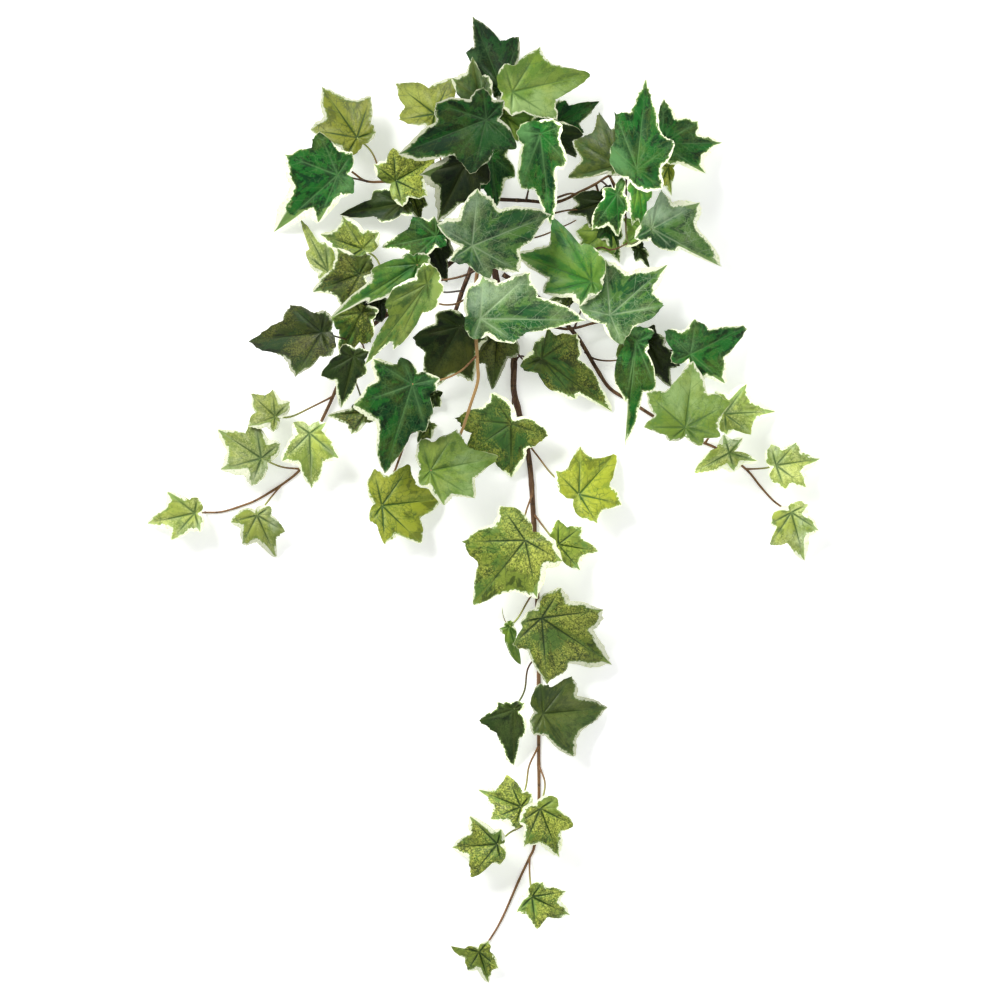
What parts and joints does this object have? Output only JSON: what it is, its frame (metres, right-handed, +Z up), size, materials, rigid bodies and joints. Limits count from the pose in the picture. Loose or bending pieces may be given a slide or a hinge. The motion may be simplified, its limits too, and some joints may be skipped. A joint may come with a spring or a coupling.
{
  "type": "trailing variegated ivy bunch",
  "caption": "Cut bunch of trailing ivy lying flat: a leafy crown of lobed cream-edged leaves with three long trails of smaller leaves.",
  "frame": {"origin": "under the middle of the bunch, on the surface that it lies on", "axes": "+Z up from the surface; the crown is towards +Y and the longest trail runs towards -Y; +X is to the right of the crown seen from above"},
  "size_m": [0.487, 0.699, 0.1168],
  "materials": {
    "leaf_dark": "satin, dark green with a cream rim",
    "leaf_green": "satin, mid green with a cream rim",
    "leaf_speckled": "satin, yellow-green speckle with dark veins",
    "leaf_pale": "satin, pale yellow-green with a wide cream rim",
    "stem_bark": "matte brown bark"
  },
  "bodies": {
    "root": {"main_stem": "stem_bark", "left_shoot": "stem_bark", "right_shoot": "stem_bark", "right_twig": "stem_bark", "upper_left_shoot": "stem_bark", "upper_right_shoot": "stem_bark", "lower_left_shoot": "stem_bark", "front_shoot": "stem_bark", "tail_leaf_60": "leaf_speckled", "tail_leaf_59": "leaf_speckled", "tail_leaf_58": "leaf_speckled", "tail_leaf_56": "leaf_speckled", "tail_leaf_57": "leaf_speckled", "tail_leaf_55": "leaf_dark", "tail_leaf_54": "leaf_green", "tail_leaf_52": "leaf_green", "tail_leaf_53": "leaf_speckled", "tail_leaf_51": "leaf_speckled", "tail_leaf_50": "leaf_speckled", "tail_leaf_49": "leaf_speckled", "tail_leaf_46": "leaf_speckled", "left_leaf_41": "leaf_pale", "left_leaf_42": "leaf_pale", "left_leaf_43": "leaf_pale", "left_leaf_45": "leaf_pale", "left_leaf_44": "leaf_pale", "right_leaf_40": "leaf_pale", "right_leaf_39": "leaf_pale", "right_leaf_37": "leaf_pale", "right_leaf_38": "leaf_pale", "crown_leaf_1": "leaf_speckled", "crown_leaf_4": "leaf_speckled", "crown_leaf_13": "leaf_pale", "crown_leaf_14": "leaf_dark", "crown_leaf_3": "leaf_speckled", "crown_leaf_17": "leaf_dark", "crown_leaf_23": "leaf_dark", "crown_leaf_48": "leaf_dark", "crown_leaf_31": "leaf_dark", "crown_leaf_32": "leaf_dark", "crown_leaf_35": "leaf_dark", "crown_leaf_68": "leaf_dark", "crown_leaf_8": "leaf_dark", "crown_leaf_71": "leaf_dark", "crown_leaf_64": "leaf_green", "crown_leaf_29": "leaf_green", "crown_leaf_2": "leaf_dark", "crown_leaf_7": "leaf_dark", "crown_leaf_36": "leaf_speckled", "crown_leaf_47": "leaf_speckled", "crown_leaf_21": "leaf_dark", "crown_leaf_61": "leaf_green", "crown_leaf_65": "leaf_dark", "crown_leaf_67": "leaf_dark", "crown_leaf_15": "leaf_green", "crown_leaf_16": "leaf_green", "crown_leaf_27": "leaf_green", "crown_leaf_28": "leaf_green", "crown_leaf_6": "leaf_dark", "crown_leaf_26": "leaf_green"}
  },
  "joints": []
}
